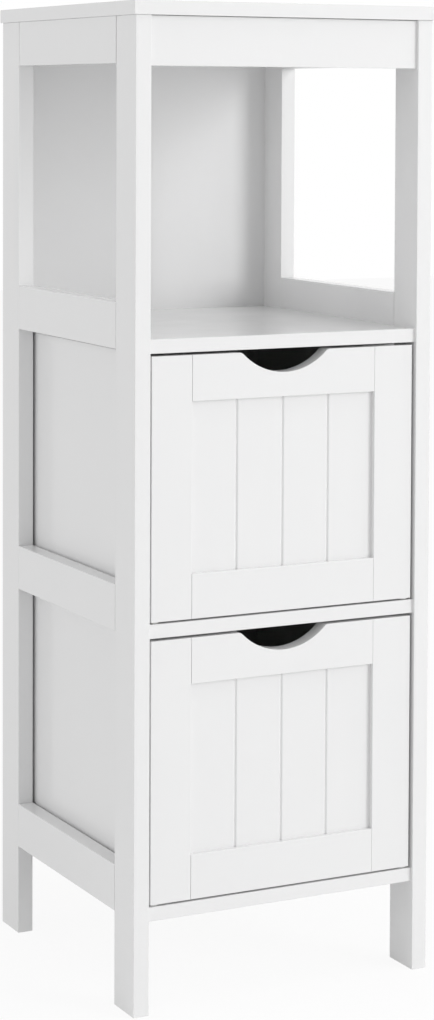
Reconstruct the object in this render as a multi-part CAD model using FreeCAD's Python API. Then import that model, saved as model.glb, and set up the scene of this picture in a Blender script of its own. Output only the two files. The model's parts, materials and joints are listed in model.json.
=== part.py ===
import FreeCAD, Part
import math
import os

# A free-standing bathroom cabinet of painted board: two open side frames carry a top, a shelf,
# a divider and a bottom, with an open bay above two box drawers that slide on small glides.
# Millimetres, +Z up, front towards -Y, origin on the floor below the middle of the cabinet.

Vec = FreeCAD.Vector

# Carcass
height = 890.0
body_width = 300.0
body_depth = 300.0
top_overhang = 2.0
board_thickness = 12.5
post_width = 15.0
post_depth = 40.0
leg_clearance = 82.5
drawer_bay_height = 237.7
rail_height = 41.5
rail_rise = 1.8
apron_height = 44.0
apron_thickness = 15.0
front_recess = 3.0
edge_round = 0.5
apron_top_gap = 0.4
rail_joint_gaps = {"top": 1.2, "shelf": 0.3, "middle": 0.3, "bottom": 0.3}
joint_gap_depth = 2.0

# Back panel, let into the rear posts
back_thickness = 3.0
back_setback = 1.0
back_rebate_width = 7.0
back_play = 0.3

# Drawers
drawer_side_gap = 2.7
drawer_back_gap = 1.0
drawer_top_gap = 2.4
drawer_side_thickness = 10.0
drawer_back_thickness = 10.0
drawer_bottom_thickness = 3.0
drawer_bottom_rise = 8.0
bottom_groove_share = 0.4

# Drawer front: two stiles, two rails and a panel of planks held in their grooves
front_thickness = 15.0
stile_width = 39.5
top_rail_height = 41.0
bottom_rail_height = 40.0
panel_recess = 4.5
panel_thickness = 5.0
panel_groove_depth = 6.0
panel_play = 0.5
plank_count = 4
vee_width = 3.0
vee_depth = 1.5
front_round = 0.4
front_joint_gap = 0.3

# Finger scoop in the drawer front's top rail
scoop_width = 92.0
scoop_depth = 19.0
scoop_shoulder_radius = 6.0

# Glides under the drawers
glide_diameter = 8.4
glide_thickness = 1.7
glide_side_inset = 0.9
glide_end_inset = 1.7
glide_pin_diameter = 2.0
glide_pin_length = 5.0

# Dowels
dowel_diameter = 6.0
dowel_long_embed = 18.0
dowel_frame_embed = 15.0
dowel_short_embed = 8.0
dowel_drawer_side_embed = 6.0
frame_dowel_share = 0.25
apron_dowel_share = 0.3
board_dowel_share = 0.18
top_dowel_share = 0.46
drawer_dowel_shares = (0.18, 0.5, 0.82)

# Cam locks: the bolt is screwed into one piece, the cam sits in a pocket of the other
cam_diameter = 12.0
cam_axis_depth = 6.0
cam_reach = 3.0
cam_distance = 22.0
cam_slot_length = 8.0
cam_slot_width = 1.4
cam_slot_depth = 1.2
bolt_thread_diameter = 5.0
bolt_shank_diameter = 4.0
bolt_head_diameter = 6.0
bolt_head_length = 3.0
bolt_embed = 9.0
board_cam_share = 0.34

# Nails of the back panel
nail_shank_diameter = 1.6
nail_length = 18.0
nail_head_diameter = 4.0
nail_head_thickness = 0.8
nails_per_post = 7
board_nail_shares = (-0.6, 0.0, 0.6)

# Clearances: round a peg, past a peg's end, round a bolt's head, and the overrun of every cut
peg_clearance = 0.1
peg_end_clearance = 1.0
bolt_clearance = 0.5
overrun = 1.0

# Places that follow from the sizes above
post_top = height - board_thickness
inner_half = body_width / 2 - post_width
frame_middle = body_width / 2 - post_width / 2
front_y = -body_depth / 2
rail_half = body_depth / 2 - post_depth
board_front = front_y + front_recess
back_outer = body_depth / 2 - back_setback
back_inner = back_outer - back_thickness
board_levels = {
    "bottom": leg_clearance,
    "divider": leg_clearance + board_thickness + drawer_bay_height,
    "shelf": leg_clearance + 2 * (board_thickness + drawer_bay_height),
}
rail_of_board = {"bottom": "bottom", "divider": "middle", "shelf": "shelf"}
sides = {"left": -1, "right": 1}

pieces = {}
cuts = {}


def add(node, *solids):
    pieces.setdefault(node, []).extend(solids)


def cut_from(node, *cutters):
    cuts.setdefault(node, []).extend(cutters)


def span(a, b):
    return (min(a, b), max(a, b))


def block(x, y, z):
    return Part.makeBox(x[1] - x[0], y[1] - y[0], z[1] - z[0], Vec(x[0], y[0], z[0]))


def eased(shape, radius, along=None):
    """Rounds a shape's edges, or only those along a direction."""
    edges = [edge for edge in shape.Edges if not along or edge.tangentAt(edge.FirstParameter).dot(along)]
    return shape.makeFillet(radius, edges)


def peg(diameter, point, direction, back, ahead):
    """A round peg through a point, reaching back behind it and ahead along the direction."""
    return Part.makeCylinder(diameter / 2, back + ahead, point - direction * back, direction)


def dowel(group, point, direction, back_piece, back, ahead_piece, ahead):
    """A dowel across a joint, with its hole in both pieces."""
    add(group, peg(dowel_diameter, point, direction, back, ahead))
    hole = peg(
        dowel_diameter + 2 * peg_clearance, point, direction,
        back + peg_end_clearance, ahead + peg_end_clearance,
    )
    cut_from(back_piece, hole)
    cut_from(ahead_piece, hole)


def cam_body():
    """A cam drum in its own frame: the bolt comes from +X, and the pocket is bored along +Z."""
    centre = Vec(-cam_distance, 0, 0)
    drum = peg(cam_diameter, centre, Vec(0, 0, 1), cam_axis_depth, cam_reach)
    mouth = peg(
        bolt_head_diameter + 2 * bolt_clearance, centre, Vec(1, 0, 0),
        bolt_head_length / 2 + bolt_clearance, cam_diameter,
    )
    slot_z = (-cam_axis_depth - overrun, -cam_axis_depth + cam_slot_depth)
    along = (-cam_slot_length / 2, cam_slot_length / 2)
    across = (-cam_slot_width / 2, cam_slot_width / 2)
    slots = [block(along, across, slot_z), block(across, along, slot_z)]
    for slot in slots:
        slot.translate(centre)
    return drum.cut([mouth] + slots)


def cam_bolt():
    """The bolt of a cam lock: thread beyond the joint, shank and head on the cam's side."""
    ahead = Vec(1, 0, 0)
    thread = peg(bolt_thread_diameter, Vec(0, 0, 0), ahead, 0, bolt_embed)
    shank = peg(bolt_shank_diameter, Vec(0, 0, 0), ahead, cam_distance, 0)
    head = peg(
        bolt_head_diameter, Vec(-cam_distance, 0, 0), ahead,
        bolt_head_length / 2, bolt_head_length / 2,
    )
    return thread.fuse([shank, head])


def cam_pocket():
    """What is bored out of the piece that holds the cam: its pocket and the bolt's way in."""
    pocket = peg(
        cam_diameter + 2 * peg_clearance, Vec(-cam_distance, 0, 0), Vec(0, 0, 1),
        cam_axis_depth + overrun, cam_reach + peg_clearance,
    )
    way = peg(
        bolt_head_diameter + 2 * bolt_clearance, Vec(0, 0, 0), Vec(1, 0, 0), cam_distance, overrun,
    )
    return pocket.fuse(way)


def bolt_hole():
    diameter = bolt_thread_diameter + 2 * peg_clearance
    return peg(diameter, Vec(0, 0, 0), Vec(1, 0, 0), overrun, bolt_embed + peg_end_clearance)


def cam_lock(group, point, toward, into, cam_piece, bolt_piece):
    """A cam lock whose bolt crosses the joint at a point, along toward, with the pocket bored along into."""
    turn = FreeCAD.Rotation(toward, into.cross(toward), into, "ZXY")
    place = FreeCAD.Placement(point, turn)
    made = [cam_body(), cam_bolt(), cam_pocket(), bolt_hole()]
    for shape in made:
        shape.Placement = place
    add(group + "_cams", made[0])
    add(group + "_cam_bolts", made[1])
    cut_from(cam_piece, made[2])
    cut_from(bolt_piece, made[3])


def end_shoulder(x, y, z):
    """What is cut round the end of a rail, so that a fine gap shows where it meets a post."""
    around = block((x[0] - overrun, x[1] + overrun), y, (z[0] - overrun, z[1] + overrun))
    core_x = (x[0] + joint_gap_depth, x[1] - joint_gap_depth)
    core_z = (z[0] + joint_gap_depth, z[1] - joint_gap_depth)
    return around.cut(block(core_x, y, core_z))


def side_frame(side, sign):
    """Two posts and four rails, doweled together."""
    x = span(sign * inner_half, sign * body_width / 2)
    for end, way in (("front", -1), ("rear", 1)):
        y = span(way * rail_half, way * body_depth / 2)
        add(f"{end}_{side}_post", eased(block(x, y, (0, post_top)), edge_round))
    rebate = block(
        span(sign * (inner_half - overrun), sign * (inner_half + back_rebate_width)),
        (back_inner, body_depth / 2 + overrun),
        (leg_clearance - back_play, post_top + overrun),
    )
    cut_from(f"rear_{side}_post", rebate)
    levels = {rail_of_board[board]: z + rail_rise for board, z in board_levels.items()}
    levels["top"] = post_top - rail_height
    for level, z in levels.items():
        rail = f"{side}_{level}_rail"
        bar = block(x, (-rail_half, rail_half), (z, z + rail_height))
        add(rail, eased(bar, edge_round, Vec(0, 1, 0)))
        for end, way in (("front", -1), ("rear", 1)):
            seam_y = span(way * (rail_half - rail_joint_gaps[level]), way * (rail_half + overrun))
            cut_from(rail, end_shoulder(x, seam_y, (z, z + rail_height)))
            for up in (-1, 1):
                middle = z + rail_height / 2 + up * frame_dowel_share * rail_height
                dowel(
                    f"{side}_frame_dowels", Vec(sign * frame_middle, way * rail_half, middle),
                    Vec(0, way, 0), rail, dowel_frame_embed, f"{end}_{side}_post", dowel_frame_embed,
                )


def inner_board(name, z):
    """A board between the side frames, its underside a little below its rails' undersides."""
    node = f"{name}_board"
    x = (-inner_half, inner_half)
    board = block(x, (board_front, back_inner), (z, z + board_thickness))
    add(node, eased(board, edge_round, Vec(1, 0, 0)))
    for side, sign in sides.items():
        rail = f"{side}_{rail_of_board[name]}_rail"
        out = Vec(sign, 0, 0)
        for way in (-1, 1):
            cam_y = way * board_cam_share * 2 * rail_half
            cam_point = Vec(sign * inner_half, cam_y, z + cam_axis_depth)
            cam_lock(name, cam_point, out, Vec(0, 0, 1), node, rail)
            dowel_y = way * board_dowel_share * 2 * rail_half
            dowel_point = Vec(sign * inner_half, dowel_y, z + board_thickness / 2)
            dowel(f"{name}_dowels", dowel_point, out, node, dowel_long_embed, rail, dowel_short_embed)


def top_board():
    reach_x = body_width / 2 + top_overhang
    reach_y = body_depth / 2 + top_overhang
    board = block((-reach_x, reach_x), (-reach_y, reach_y), (post_top, height))
    add("top_board", eased(board, edge_round))
    up = Vec(0, 0, 1)
    for side, sign in sides.items():
        for end, way in (("front", -1), ("rear", 1)):
            cam_y = way * board_cam_share * 2 * rail_half
            cam_point = Vec(sign * (inner_half + cam_axis_depth), cam_y, post_top)
            cam_lock("top", cam_point, up, Vec(sign, 0, 0), f"{side}_top_rail", "top_board")
            dowel_y = way * (body_depth / 2 - top_dowel_share * post_depth)
            dowel_point = Vec(sign * frame_middle, dowel_y, post_top)
            dowel(
                "top_dowels", dowel_point, up,
                f"{end}_{side}_post", dowel_long_embed, "top_board", dowel_short_embed,
            )


def front_apron():
    z = (post_top - apron_height, post_top - apron_top_gap)
    y = (board_front, board_front + apron_thickness)
    add("front_apron", eased(block((-inner_half, inner_half), y, z), edge_round, Vec(1, 0, 0)))
    middle = post_top - apron_height / 2
    for side, sign in sides.items():
        post = f"front_{side}_post"
        out = Vec(sign, 0, 0)
        cam_point = Vec(sign * inner_half, y[1] - cam_axis_depth, middle)
        cam_lock("apron", cam_point, out, Vec(0, -1, 0), "front_apron", post)
        for up in (-1, 1):
            dowel_z = middle + up * apron_dowel_share * apron_height
            dowel_point = Vec(sign * inner_half, board_front + apron_thickness / 2, dowel_z)
            dowel(
                "apron_dowels", dowel_point, out,
                "front_apron", dowel_long_embed, post, dowel_short_embed,
            )


def back_nail(x, z, held_by):
    """A nail through the back panel into what stands behind it, its head on the panel's outer face."""
    head_seat = Vec(x, back_outer, z)
    out = Vec(0, 1, 0)
    head = peg(nail_head_diameter, head_seat, out, 0, nail_head_thickness)
    shank = peg(nail_shank_diameter, head_seat, out, nail_length, 0)
    add("back_panel_nails", head.fuse(shank))
    hole_diameter = nail_shank_diameter + 2 * peg_clearance
    hole = peg(hole_diameter, head_seat, out, nail_length + peg_end_clearance, overrun)
    cut_from("back_panel", hole)
    cut_from(held_by, hole)


def back_panel():
    reach = inner_half + back_rebate_width - back_play
    z = (leg_clearance, post_top - back_play)
    add("back_panel", block((-reach, reach), (back_inner, back_outer), z))
    for side, sign in sides.items():
        for step in range(nails_per_post):
            nail_z = z[0] + (z[1] - z[0]) * (step + 0.5) / nails_per_post
            back_nail(sign * (inner_half + back_rebate_width / 2), nail_z, f"rear_{side}_post")
    for name, board_z in board_levels.items():
        for share in board_nail_shares:
            back_nail(share * inner_half, board_z + board_thickness / 2, f"{name}_board")


def scooped_outline(half, low, high, y):
    """The top rail's outline: a finger scoop with rounded shoulders in its upper edge."""
    shoulder = scoop_shoulder_radius
    reach = scoop_width / 2
    radius = (reach**2 / scoop_depth + scoop_depth) / 2 - shoulder
    rise = radius - scoop_depth
    tilt = math.atan2(rise + shoulder, reach)

    def shoulder_point(side, angle):
        x = reach - shoulder * math.cos(angle)
        return Vec(side * x, y, high - shoulder + shoulder * math.sin(angle))

    def arc(*points):
        return Part.Arc(*points).toShape()

    upright = math.pi / 2
    between = (upright + tilt) / 2
    corners = [Vec(reach, y, high), Vec(half, y, high), Vec(half, y, low), Vec(-half, y, low)]
    corners += [Vec(-half, y, high), Vec(-reach, y, high)]
    edges = [Part.makeLine(a, b) for a, b in zip(corners, corners[1:])]
    edges.append(arc(*[shoulder_point(-1, angle) for angle in (upright, between, tilt)]))
    edges.append(arc(shoulder_point(-1, tilt), Vec(0, y, high - scoop_depth), shoulder_point(1, tilt)))
    edges.append(arc(*[shoulder_point(1, angle) for angle in (tilt, between, upright)]))
    return Part.Face(Part.Wire(edges))


def vee(x, y, z):
    """The cutter of a V-groove that runs up a panel whose face is at y."""
    half = vee_width / 2 * (1 + overrun / vee_depth)
    low = z[0] - overrun
    points = [Vec(x - half, y - overrun, low), Vec(x + half, y - overrun, low), Vec(x, y + vee_depth, low)]
    face = Part.Face(Part.makePolygon(points + points[:1]))
    return face.extrude(Vec(0, 0, z[1] - z[0] + 2 * overrun))


def drawer_front(name, half, y, z):
    """Stiles, rails and plank panel of one drawer front; a fine gap shows where rails meet stiles."""
    opening = half - stile_width
    panel_y = (y[0] + panel_recess, y[0] + panel_recess + panel_thickness)
    sight = (z[0] + bottom_rail_height, z[1] - top_rail_height)
    groove_z = (sight[0] - panel_groove_depth, sight[1] + panel_groove_depth)
    groove = opening + panel_groove_depth
    held = groove - panel_play
    for side, sign in sides.items():
        stile = block(span(sign * opening, sign * half), y, z)
        add(f"{name}_front_{side}_stile", eased(stile, front_round))
        slot = block(span(0, sign * groove), panel_y, (z[0] - overrun, z[1] + overrun))
        cut_from(f"{name}_front_{side}_stile", slot)

    through = Vec(0, front_thickness, 0)
    top_rail = eased(scooped_outline(opening, sight[1], z[1], y[0]).extrude(through), front_round)
    bottom_rail = eased(block((-opening, opening), y, (z[0], sight[0])), front_round)
    top_tongue = block((-held, held), panel_y, (groove_z[1], z[1]))
    bottom_tongue = block((-held, held), panel_y, (z[0], groove_z[0]))
    middle = block((-opening, opening), y, z)
    slot = block((-opening, opening), panel_y, groove_z)
    shoulders = []
    for sign in sides.values():
        x = span(sign * (opening - front_joint_gap), sign * (opening + overrun))
        shoulders.append(block(x, (y[0] - overrun, y[0] + joint_gap_depth), z))
    for node, rail, tongue in (("top", top_rail, top_tongue), ("bottom", bottom_rail, bottom_tongue)):
        add(f"{name}_front_{node}_rail", rail.fuse(tongue.cut(middle)))
        cut_from(f"{name}_front_{node}_rail", slot, *shoulders)

    panel_z = (groove_z[0] + panel_play, groove_z[1] - panel_play)
    add(f"{name}_front_panel", block((-held, held), panel_y, panel_z))
    for joint in range(1, plank_count):
        x = opening * (2 * joint / plank_count - 1)
        cut_from(f"{name}_front_panel", vee(x, panel_y[0], panel_z))


def drawer_box(name, half, y, z):
    """Sides, back and bottom of one drawer, doweled to the front that ends at y[0]."""
    inner = half - drawer_side_thickness
    back_y = y[1] - drawer_back_thickness
    for side, sign in sides.items():
        add(f"{name}_{side}_side", eased(block(span(sign * inner, sign * half), y, z), front_round))
    add(f"{name}_back", eased(block((-inner, inner), (back_y, y[1]), z), front_round))

    front_groove = bottom_groove_share * (front_thickness - panel_recess - panel_thickness)
    side_groove = bottom_groove_share * drawer_side_thickness
    back_groove = bottom_groove_share * drawer_back_thickness
    low = z[0] + drawer_bottom_rise
    bottom_z = (low, low + drawer_bottom_thickness)
    reach = inner + side_groove
    bottom_y = (y[0] - front_groove, back_y + back_groove)
    groove = block((-reach, reach), bottom_y, bottom_z)
    sheet_reach = reach - panel_play
    sheet_y = (bottom_y[0] + panel_play, bottom_y[1] - panel_play)
    add(f"{name}_bottom", block((-sheet_reach, sheet_reach), sheet_y, bottom_z))
    cut_from(f"{name}_back", groove)
    cut_from(f"{name}_front_bottom_rail", groove)
    for side in sides:
        cut_from(f"{name}_{side}_side", groove)
        cut_from(f"{name}_front_{side}_stile", groove)

    for side, sign in sides.items():
        box_side = f"{name}_{side}_side"
        for share in drawer_dowel_shares:
            dowel_z = z[0] + share * (z[1] - z[0])
            dowel(
                f"{name}_dowels", Vec(sign * (inner + half) / 2, y[0], dowel_z), Vec(0, 1, 0),
                f"{name}_front_{side}_stile", dowel_short_embed, box_side, dowel_long_embed,
            )
            dowel(
                f"{name}_dowels", Vec(sign * inner, (back_y + y[1]) / 2, dowel_z), Vec(sign, 0, 0),
                f"{name}_back", dowel_long_embed, box_side, dowel_drawer_side_embed,
            )


def drawer_glides(name, half, y, seat):
    """Four round glides tacked under the corners of one drawer."""
    inset = glide_end_inset + glide_diameter / 2
    up = Vec(0, 0, 1)
    for side, sign in sides.items():
        x = sign * (half - glide_side_inset - glide_diameter / 2)
        for holder, glide_y in ((f"front_{side}_stile", y[0] + inset), (f"{side}_side", y[1] - inset)):
            point = Vec(x, glide_y, seat)
            foot = peg(glide_diameter, point, up, 0, glide_thickness)
            pin = peg(glide_pin_diameter, point, up, 0, glide_thickness + glide_pin_length)
            add(f"{name}_glides", foot.fuse(pin))
            hole = peg(
                glide_pin_diameter + 2 * peg_clearance, point, up,
                0, glide_thickness + glide_pin_length + peg_end_clearance,
            )
            cut_from(f"{name}_{holder}", hole)


def drawer(name, seat):
    """A box drawer that stands on its glides on a board whose top is at seat."""
    half = inner_half - drawer_side_gap
    z = (seat + glide_thickness, seat + drawer_bay_height - drawer_top_gap)
    y = (board_front, back_inner - drawer_back_gap)
    joint_y = board_front + front_thickness
    drawer_front(name, half, (y[0], joint_y), z)
    drawer_box(name, half, (joint_y, y[1]), z)
    drawer_glides(name, half, y, seat)


for side_name, side_sign in sides.items():
    side_frame(side_name, side_sign)
for board_name, board_low in board_levels.items():
    inner_board(board_name, board_low)
top_board()
front_apron()
back_panel()
drawer("upper_drawer", board_levels["divider"] + board_thickness)
drawer("lower_drawer", board_levels["bottom"] + board_thickness)

os.makedirs("parts", exist_ok=True)
for node, solids in pieces.items():
    shape = solids[0] if len(solids) == 1 else Part.makeCompound(solids)
    if node in cuts:
        shape = shape.cut(cuts[node])
    shape.exportStep(f"parts/{node}.step")
print(len(pieces), "nodes,", sum(len(solids) for solids in pieces.values()), "solids")
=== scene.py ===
import json
import math

import bpy
from mathutils import Matrix, Vector


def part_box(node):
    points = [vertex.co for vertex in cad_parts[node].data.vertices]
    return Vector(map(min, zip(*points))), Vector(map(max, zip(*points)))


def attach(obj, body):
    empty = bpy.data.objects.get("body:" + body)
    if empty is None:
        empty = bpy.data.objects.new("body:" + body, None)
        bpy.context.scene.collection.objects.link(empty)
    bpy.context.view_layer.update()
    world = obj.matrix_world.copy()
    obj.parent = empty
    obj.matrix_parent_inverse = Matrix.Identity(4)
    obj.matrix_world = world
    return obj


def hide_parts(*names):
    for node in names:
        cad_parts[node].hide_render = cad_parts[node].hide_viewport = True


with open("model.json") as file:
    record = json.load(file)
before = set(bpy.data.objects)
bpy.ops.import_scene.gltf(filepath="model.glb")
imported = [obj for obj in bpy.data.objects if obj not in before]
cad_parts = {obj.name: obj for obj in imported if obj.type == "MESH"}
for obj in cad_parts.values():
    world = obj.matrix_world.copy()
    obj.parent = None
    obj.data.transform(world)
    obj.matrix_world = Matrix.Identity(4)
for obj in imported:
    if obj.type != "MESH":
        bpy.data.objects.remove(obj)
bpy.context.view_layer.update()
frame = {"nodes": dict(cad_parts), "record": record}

# The photograph's frame in pixels, and the camera that fits it
PHOTO_WIDTH = 434
PHOTO_HEIGHT = 1020
FOCAL_PX = 2573.0
AXIS_PX = (217.0, 212.0)
SENSOR_MM = 36.0
CAMERA_PLACE = (-1.1007, -2.1586, 0.8016)
CAMERA_YAW = math.radians(-27.145)
CAMERA_PITCH = math.radians(2.432)
CAMERA_ROLL = math.radians(-0.233)
CAMERA_REACH = 100.0

DRAWERS = ("upper_drawer", "lower_drawer")

# Plank panels of the drawer fronts
PLANKS = 4
GROOVE_WIDTH = 0.003
GROOVE_DEPTH = 0.0015
PLANK_EASE = 0.0003
EASE_SEGMENTS = 2

# Squared share of half the sight width past which a grid line is an outer edge
EDGE_TEST = 0.99

# Glides and nails: heads with a crown, shanks, and a turn about X from head up
GLIDE = {
    "Head Radius": 0.0042, "Head Thickness": 0.0017, "Crown": 0.0006,
    "Shank Radius": 0.001, "Shank Length": 0.005, "Turn": math.pi,
}
NAIL = {
    "Head Radius": 0.002, "Head Thickness": 0.0008, "Crown": 0.0004,
    "Shank Radius": 0.0008, "Shank Length": 0.018, "Turn": -math.pi / 2,
}
HEAD_SIDES = 32
HEAD_RINGS = 6
SHANK_SIDES = 16
NAILED_BOARDS = ("bottom_board", "divider_board", "shelf_board")
NAILS_PER_POST = 7
BOARD_NAIL_SHARES = (-0.6, 0.0, 0.6)

# Meshes: welding distance, angle of a sharp edge, and depth of a face's own colour
WELD = 0.00001
SHARP_ANGLE = math.radians(35)
SKIN = 0.0002

# Finishes: pairs of colours that a noise blends, a fine bump's height, and fine fibre's share in the brown
LACQUER_WHITES = ((0.815, 0.815, 0.818, 1), (0.835, 0.835, 0.835, 1))
COATING_WHITES = ((0.8, 0.8, 0.803, 1), (0.825, 0.825, 0.825, 1))
FIBRE_BROWNS = ((0.2, 0.115, 0.06, 1), (0.46, 0.31, 0.19, 1))
BEECH_BROWNS = ((0.62, 0.42, 0.25, 1), (0.78, 0.6, 0.4, 1))
ZINC_GREYS = ((0.5, 0.51, 0.52, 1), (0.66, 0.67, 0.68, 1))
STEEL_GREYS = ((0.6, 0.6, 0.6, 1), (0.72, 0.72, 0.73, 1))
PLASTIC_WHITES = ((0.8, 0.8, 0.78, 1), (0.86, 0.86, 0.84, 1))
BUMP_HEIGHT = 0.0002
FIBRE_SHARE = 0.55

# Studio: ambient level, floor, and lamps as azimuth, elevation, width, height and watts
WHITE = (1, 1, 1, 1)
AMBIENT = 0.57
FLOOR_REACH = 8.0
FLOOR_PAPER = (0.9, 0.9, 0.9, 1)
FLOOR_WHITE_SHARE = 0.9
LAMP_AIM = (0.0, 0.0, 0.5)
LAMP_DISTANCE = 7.0
LAMPS = {
    "key": (37, 16, 2.4, 4.0, 195.0),
    "right_fill": (70, 40, 3.0, 4.0, 75.0),
    "left_fill": (-92, 10, 5.0, 4.0, 80.0),
    "overhead": (-20, 80, 4.0, 4.0, 40.0),
}


class Signal:
    """An output socket whose arithmetic adds Math nodes to its own tree."""

    def __init__(self, socket):
        self.socket = socket

    def maths(self, operation, first, second):
        tree = Nodes(self.socket.id_data)
        return tree.add("ShaderNodeMath", {0: first, 1: second}, operation=operation)[0]

    def __add__(self, other):
        return self.maths("ADD", self, other)

    def __sub__(self, other):
        return self.maths("SUBTRACT", self, other)

    def __rsub__(self, other):
        return self.maths("SUBTRACT", other, self)

    def __mul__(self, other):
        return self.maths("MULTIPLY", self, other)

    def __truediv__(self, other):
        return self.maths("DIVIDE", self, other)

    def __rtruediv__(self, other):
        return self.maths("DIVIDE", other, self)

    def __gt__(self, other):
        return self.maths("GREATER_THAN", self, other)

    def __lt__(self, other):
        return self.maths("LESS_THAN", self, other)

    __radd__ = __add__
    __rmul__ = __mul__


class Nodes:
    """A node tree, shader or geometry, that nodes are added to by type, sockets and settings."""

    def __init__(self, tree):
        self.tree = tree

    def add(self, kind, sockets=None, **settings):
        """Adds a node and returns its outputs by name and by number; a list joins on one socket."""
        node = self.tree.nodes.new(kind)
        for name, value in settings.items():
            setattr(node, name, value)
        for name, value in (sockets or {}).items():
            for source in value if isinstance(value, list) else [value]:
                if isinstance(source, Signal):
                    self.tree.links.new(source.socket, node.inputs[name])
                else:
                    node.inputs[name].default_value = source
        outputs = {output.name: Signal(output) for output in node.outputs}
        outputs.update(enumerate(map(Signal, node.outputs)))
        return outputs


def empty_tree(owner):
    """The node tree of a material or a world, with nothing in it."""
    owner.use_nodes = True
    owner.node_tree.nodes.clear()
    return owner.node_tree


def between(share, low, high):
    """A number that goes from low to high as a share goes from 0 to 1."""
    return low + (high - low) * share


class Finish(Nodes):
    """A material whose surface is one Principled shader."""

    def __init__(self, name):
        self.material = bpy.data.materials.new(name)
        super().__init__(empty_tree(self.material))
        self.place = self.add("ShaderNodeTexCoord")["Object"]

    def noise(self, scale, detail=3.0, roughness=0.5):
        sockets = {"Vector": self.place, "Scale": scale, "Detail": detail, "Roughness": roughness}
        return self.add("ShaderNodeTexNoise", sockets)["Fac"]

    def blend(self, share, first, second):
        """A colour between two; a Mix node's sockets share their names, so they go by number."""
        return self.add("ShaderNodeMix", {0: share, 6: first, 7: second}, data_type="RGBA")[2]

    def bump(self, height, strength):
        sockets = {"Height": height, "Strength": strength, "Distance": BUMP_HEIGHT}
        return self.add("ShaderNodeBump", sockets)["Normal"]

    def close(self, sockets):
        """Ends the tree in a Principled shader and returns the material."""
        shader = self.add("ShaderNodeBsdfPrincipled", sockets)["BSDF"]
        self.add("ShaderNodeOutputMaterial", {"Surface": shader})
        return self.material


class Form(Nodes):
    """A Geometry Nodes tree with named sizes, baked into one plain mesh for each body."""

    def __init__(self, name, sizes):
        super().__init__(bpy.data.node_groups.new(name, "GeometryNodeTree"))
        interface = self.tree.interface
        for direction in ("OUTPUT", "INPUT"):
            interface.new_socket("Geometry", in_out=direction, socket_type="NodeSocketGeometry")
        self.keys = {}
        for size in sizes:
            socket = interface.new_socket(size, in_out="INPUT", socket_type="NodeSocketFloat")
            self.keys[size] = socket.identifier
        self.given = self.add("NodeGroupInput")

    def shape(self, kind, sockets=None, **settings):
        return self.add("GeometryNode" + kind, sockets, **settings)

    def vector(self, **parts):
        return self.add("ShaderNodeCombineXYZ", parts)["Vector"]

    def place(self):
        position = self.shape("InputPosition")["Position"]
        parts = self.add("ShaderNodeSeparateXYZ", {"Vector": position})
        return parts["X"], parts["Y"], parts["Z"]

    def close(self, geometry, finish):
        """Ends the tree in real geometry that wears a finish."""
        whole = self.shape("RealizeInstances", {"Geometry": geometry})[0]
        dressed = self.shape("SetMaterial", {"Geometry": whole, "Material": finish})[0]
        self.add("NodeGroupOutput", {"Geometry": dressed})
        return self

    def bake(self, name, sizes, points=((0, 0, 0),), ease=0.0):
        """A plain mesh of the form on given points, with its edges eased or its round faces smooth."""
        carrier = bpy.data.meshes.new(name)
        carrier.from_pydata(points, [], [])
        piece = bpy.data.objects.new(name, carrier)
        bpy.context.scene.collection.objects.link(piece)
        maker = piece.modifiers.new("maker", "NODES")
        maker.node_group = self.tree
        for size, value in sizes.items():
            maker[self.keys[size]] = value
        if ease:
            easing = piece.modifiers.new("easing", "BEVEL")
            easing.width = ease
            easing.segments = EASE_SEGMENTS
        ready = piece.evaluated_get(bpy.context.evaluated_depsgraph_get())
        piece.data = bpy.data.meshes.new_from_object(ready)
        piece.modifiers.clear()
        if not ease:
            piece.data.shade_smooth()
            piece.data.set_sharp_from_angle(angle=SHARP_ANGLE)
        return piece


def white_lacquer():
    """Sprayed satin lacquer on board: faint orange peel, and a tone and a sheen that drift a little."""
    finish = Finish("white_lacquer")
    drift = finish.noise(scale=7.0)
    sheen = finish.noise(scale=24.0, detail=4.0, roughness=0.6)
    peel = finish.noise(scale=520.0, roughness=0.6)
    return finish.close({
        "Base Color": finish.blend(drift, *LACQUER_WHITES),
        "Roughness": between(sheen, low=0.16, high=0.21),
        "Specular IOR Level": 0.35,
        "Normal": finish.bump(peel, strength=0.06),
    })


def white_hardboard(name, outward, level):
    """Thin hardboard, white-coated on one face; the other, past a level outward, is bare brown fibre."""
    finish = Finish(name)
    reach = finish.add("ShaderNodeVectorMath", {0: finish.place, 1: outward}, operation="DOT_PRODUCT")
    bare = reach["Value"] > level
    drift = finish.noise(scale=9.0)
    fibre = finish.noise(scale=900.0, detail=5.0, roughness=0.7)
    mottle = finish.noise(scale=38.0, detail=5.0, roughness=0.65)
    coat = finish.blend(drift, *COATING_WHITES)
    brown = finish.blend(between(FIBRE_SHARE, mottle, fibre), *FIBRE_BROWNS)
    return finish.close({
        "Base Color": finish.blend(bare, coat, brown),
        "Roughness": between(mottle, low=0.38, high=0.48) + bare * between(fibre, low=0.3, high=0.4),
        "Normal": finish.bump(fibre, strength=0.25),
    })


def grained(name, tones, roughness, scale, detail=3.0, metallic=0.0):
    """A finish whose colour and roughness follow one grain."""
    finish = Finish(name)
    grain = finish.noise(scale, detail)
    return finish.close({
        "Base Color": finish.blend(grain, *tones),
        "Metallic": metallic,
        "Roughness": between(grain, *roughness),
    })


def beech():
    """Bare beech, for the dowels."""
    return grained("beech", BEECH_BROWNS, roughness=(0.55, 0.7), scale=90.0, detail=4.0)


def cast_zinc():
    """Die-cast zinc, for the cam locks."""
    return grained("cast_zinc", ZINC_GREYS, roughness=(0.4, 0.6), scale=700.0, metallic=1.0)


def plated_steel():
    """Bright plated steel, for the cam bolts and the nails."""
    return grained("plated_steel", STEEL_GREYS, roughness=(0.28, 0.43), scale=900.0, metallic=1.0)


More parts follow.
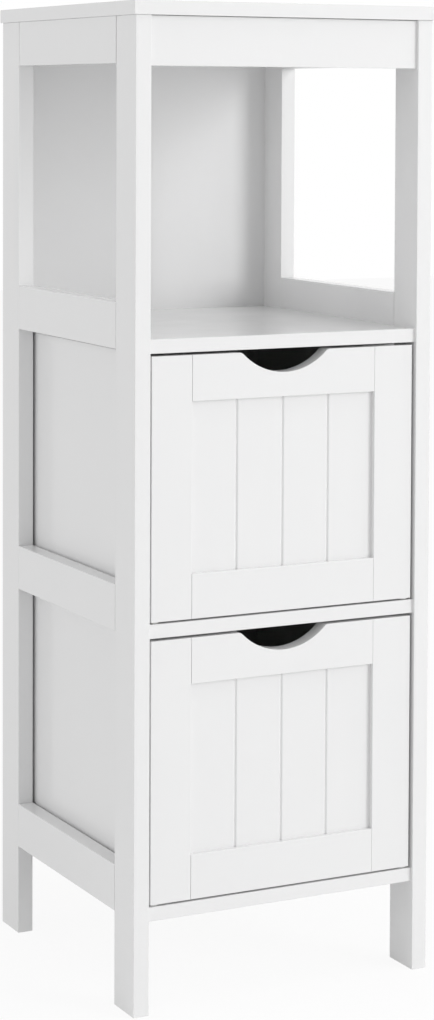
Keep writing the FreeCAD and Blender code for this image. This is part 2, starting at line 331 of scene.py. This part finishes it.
def pale_plastic():
    """Pale moulded plastic, for the glides."""
    return grained("pale_plastic", PLASTIC_WHITES, roughness=(0.45, 0.55), scale=800.0)


FINISHES = {
    "white_paint": white_lacquer(),
    "beech": beech(),
    "zinc": cast_zinc(),
    "steel": plated_steel(),
    "glide_plastic": pale_plastic(),
}


def node_finish(node, slot):
    """The finish of a node's material slot; hardboard has its bare face behind or below."""
    if slot != "white_hardboard":
        return FINISHES[slot]
    low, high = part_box(node)
    if node == "back_panel":
        return white_hardboard(f"{node}_hardboard", (0, 1, 0), high[1] - SKIN)
    return white_hardboard(f"{node}_hardboard", (0, 0, -1), -low[2] - SKIN)


def dress_nodes():
    """Gives every CAD node the finish of its material slot."""
    for part in frame["record"]["subparts"]:
        node = frame["nodes"][part["node"]]
        node.data.materials.clear()
        node.data.materials.append(node_finish(part["node"], part["material_slot"]))


def plank_panel(finish):
    """A panel of planks with V-grooves between them, its outer planks widened by a tongue."""
    form = Form("plank_panel", (
        "Planks", "Sight Width", "Tongue", "Height", "Thickness",
        "Groove Width", "Groove Depth", "Front", "Middle",
    ))
    given = form.given
    sheet = form.shape("MeshGrid", {
        "Size X": given["Sight Width"], "Size Y": given["Height"],
        "Vertices X": given["Planks"] + 1, "Vertices Y": 2,
    })["Mesh"]
    side = form.place()[0] * 2 / given["Sight Width"]
    outer = side * side > EDGE_TEST
    sheet = form.shape("SetPosition", {
        "Geometry": sheet, "Offset": form.vector(X=outer * side * given["Tongue"]),
    })[0]
    raised = form.shape("ExtrudeMesh", {
        "Mesh": sheet, "Offset Scale": given["Groove Depth"], "Individual": True,
    })
    plank_width = form.shape("InputMeshFaceArea")["Area"] / given["Height"]
    planks = form.shape("ScaleElements", {
        "Geometry": raised["Mesh"], "Selection": raised["Top"], "Axis": (1, 0, 0),
        "Scale": 1 - given["Groove Width"] / plank_width,
    }, scale_mode="SINGLE_AXIS")[0]
    turned = form.shape("FlipFaces", {"Mesh": sheet})[0]
    rear = form.shape("ExtrudeMesh", {
        "Mesh": turned, "Offset Scale": given["Thickness"] - given["Groove Depth"], "Individual": False,
    })["Mesh"]
    both = form.shape("JoinGeometry", {"Geometry": [planks, rear]})[0]
    closed = form.shape("MergeByDistance", {"Geometry": both, "Distance": WELD})[0]
    stood = form.shape("Transform", {
        "Geometry": closed, "Rotation": (math.pi / 2, 0, 0),
        "Translation": form.vector(Y=given["Front"] + given["Groove Depth"], Z=given["Middle"]),
    })[0]
    return form.close(stood, finish)


def headed_pin(finish):
    """A pin with a crowned head, set on every point of its carrier; turned about X from head up."""
    form = Form("headed_pin", GLIDE)
    given = form.given
    disc = form.shape("MeshCylinder", {
        "Vertices": HEAD_SIDES, "Fill Segments": HEAD_RINGS,
        "Radius": given["Head Radius"], "Depth": given["Head Thickness"],
    }, fill_type="TRIANGLE_FAN")["Mesh"]
    x, y, z = form.place()
    spread = (x * x + y * y) / (given["Head Radius"] * given["Head Radius"])
    fall = (z > 0.0) * given["Crown"] * spread * spread
    head = form.shape("SetPosition", {
        "Geometry": disc, "Offset": form.vector(Z=given["Head Thickness"] / 2 - fall),
    })[0]
    rod = form.shape("MeshCylinder", {
        "Vertices": SHANK_SIDES, "Radius": given["Shank Radius"], "Depth": given["Shank Length"],
    })["Mesh"]
    shank = form.shape("Transform", {
        "Geometry": rod, "Translation": form.vector(Z=given["Shank Length"] / -2),
    })[0]
    pin = form.shape("JoinGeometry", {"Geometry": [head, shank]})[0]
    pins = form.shape("InstanceOnPoints", {
        "Points": given["Geometry"], "Instance": pin, "Rotation": form.vector(X=given["Turn"]),
    })[0]
    return form.close(pins, finish)


def fit(piece, body, node):
    """Makes a piece move with a body and stand for a CAD node, which it hides."""
    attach(piece, body)
    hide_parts(node)


def drawer_panels():
    """A plank panel in each drawer front, its planks spread over the width between the stiles."""
    form = plank_panel(FINISHES["white_paint"])
    for drawer in DRAWERS:
        node = f"{drawer}_front_panel"
        low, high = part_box(node)
        sight_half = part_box(f"{drawer}_front_right_stile")[0][0]
        panel = form.bake(f"{drawer}_planks", {
            "Planks": PLANKS, "Sight Width": 2 * sight_half, "Tongue": high[0] - sight_half,
            "Height": high[2] - low[2], "Thickness": high[1] - low[1],
            "Groove Width": GROOVE_WIDTH, "Groove Depth": GROOVE_DEPTH,
            "Front": low[1], "Middle": (low[2] + high[2]) / 2,
        }, ease=PLANK_EASE)
        fit(panel, drawer, node)


def drawer_glides():
    """Four glides under the corners of each drawer."""
    form = headed_pin(FINISHES["glide_plastic"])
    inset = GLIDE["Head Radius"]
    for drawer in DRAWERS:
        node = f"{drawer}_glides"
        low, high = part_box(node)
        seat = low[2] + GLIDE["Head Thickness"]
        ends = (low[1] + inset, high[1] - inset)
        places = [(x, y, seat) for x in (low[0] + inset, high[0] - inset) for y in ends]
        fit(form.bake(f"{drawer}_glide_set", GLIDE, places), drawer, node)


def back_nails():
    """Nails through the back panel into the rear posts and the boards."""
    form = headed_pin(FINISHES["steel"])
    low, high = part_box("back_panel")
    post_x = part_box("back_panel_nails")[1][0] - NAIL["Head Radius"]
    step = (high[2] - low[2]) / NAILS_PER_POST
    heights = [low[2] + (k + 0.5) * step for k in range(NAILS_PER_POST)]
    places = [(x, high[1], z) for x in (-post_x, post_x) for z in heights]
    for board in NAILED_BOARDS:
        board_low, board_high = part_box(board)
        middle = (board_low[2] + board_high[2]) / 2
        places += [(share * board_high[0], high[1], middle) for share in BOARD_NAIL_SHARES]
    fit(form.bake("back_nails", NAIL, places), "cabinet", "back_panel_nails")


def background_rays(tree):
    """A mask of the rays that show the background: the camera's, and those mirrored or let through."""
    path = tree.add("ShaderNodeLightPath")
    return path["Is Camera Ray"] + path["Is Glossy Ray"] + path["Is Transmission Ray"] > 0.5


def studio_world():
    """A world that is white where it shows, and dimmer where it lights."""
    world = bpy.data.worlds.new("studio")
    bpy.context.scene.world = world
    tree = Nodes(empty_tree(world))
    strength = between(background_rays(tree), low=AMBIENT, high=1.0)
    back = tree.add("ShaderNodeBackground", {"Color": WHITE, "Strength": strength})
    tree.add("ShaderNodeOutputWorld", {"Surface": back[0]})


def studio_floor():
    """A pale floor that reads as white paper and keeps a faint shadow."""
    reach = FLOOR_REACH
    mesh = bpy.data.meshes.new("floor")
    corners = [(-reach, -reach, 0), (reach, -reach, 0), (reach, reach, 0), (-reach, reach, 0)]
    mesh.from_pydata(corners, [], [(0, 1, 2, 3)])
    floor = bpy.data.objects.new("floor", mesh)
    bpy.context.scene.collection.objects.link(floor)
    material = bpy.data.materials.new("floor_paper")
    tree = Nodes(empty_tree(material))
    share = background_rays(tree) * FLOOR_WHITE_SHARE
    paper = tree.add("ShaderNodeBsdfDiffuse", {"Color": FLOOR_PAPER})
    white = tree.add("ShaderNodeEmission", {"Color": WHITE, "Strength": 1.0})
    surface = tree.add("ShaderNodeMixShader", {0: share, 1: paper[0], 2: white[0]})
    tree.add("ShaderNodeOutputMaterial", {"Surface": surface[0]})
    mesh.materials.append(material)


def softbox(name, azimuth, elevation, width, height, power):
    """A far lamp, not mirrored in the cabinet; its azimuth is 0 in front and grows to the right."""
    turn, lift = math.radians(azimuth), math.radians(elevation)
    way = Vector((math.cos(lift) * math.sin(turn), -math.cos(lift) * math.cos(turn), math.sin(lift)))
    lamp = bpy.data.lights.new(name, "AREA")
    lamp.shape = "RECTANGLE"
    lamp.size = width
    lamp.size_y = height
    lamp.energy = power
    box = bpy.data.objects.new(name, lamp)
    box.location = Vector(LAMP_AIM) + LAMP_DISTANCE * way
    box.rotation_euler = (-way).to_track_quat("-Z", "Y").to_euler()
    box.visible_camera = False
    box.visible_glossy = False
    bpy.context.scene.collection.objects.link(box)


def photo_camera():
    """The camera that fits the photograph, shifted to its frame."""
    lens = bpy.data.cameras.new("photo_camera")
    lens.sensor_width = SENSOR_MM
    lens.lens = FOCAL_PX * SENSOR_MM / PHOTO_HEIGHT
    lens.shift_x = (PHOTO_WIDTH / 2 - AXIS_PX[0]) / PHOTO_HEIGHT
    lens.shift_y = (AXIS_PX[1] - PHOTO_HEIGHT / 2) / PHOTO_HEIGHT
    lens.clip_end = CAMERA_REACH
    camera = bpy.data.objects.new("photo_camera", lens)
    turn = Matrix.Rotation(CAMERA_YAW, 4, "Z")
    tilt = Matrix.Rotation(math.pi / 2 - CAMERA_PITCH, 4, "X")
    roll = Matrix.Rotation(-CAMERA_ROLL, 4, "Z")
    camera.matrix_world = Matrix.Translation(CAMERA_PLACE) @ turn @ tilt @ roll
    bpy.context.scene.collection.objects.link(camera)
    bpy.context.scene.camera = camera


dress_nodes()
drawer_panels()
drawer_glides()
back_nails()
studio_world()
studio_floor()
for lamp_name, lamp_setting in LAMPS.items():
    softbox(lamp_name, *lamp_setting)
photo_camera()
bpy.context.scene.view_settings.view_transform = "Standard"
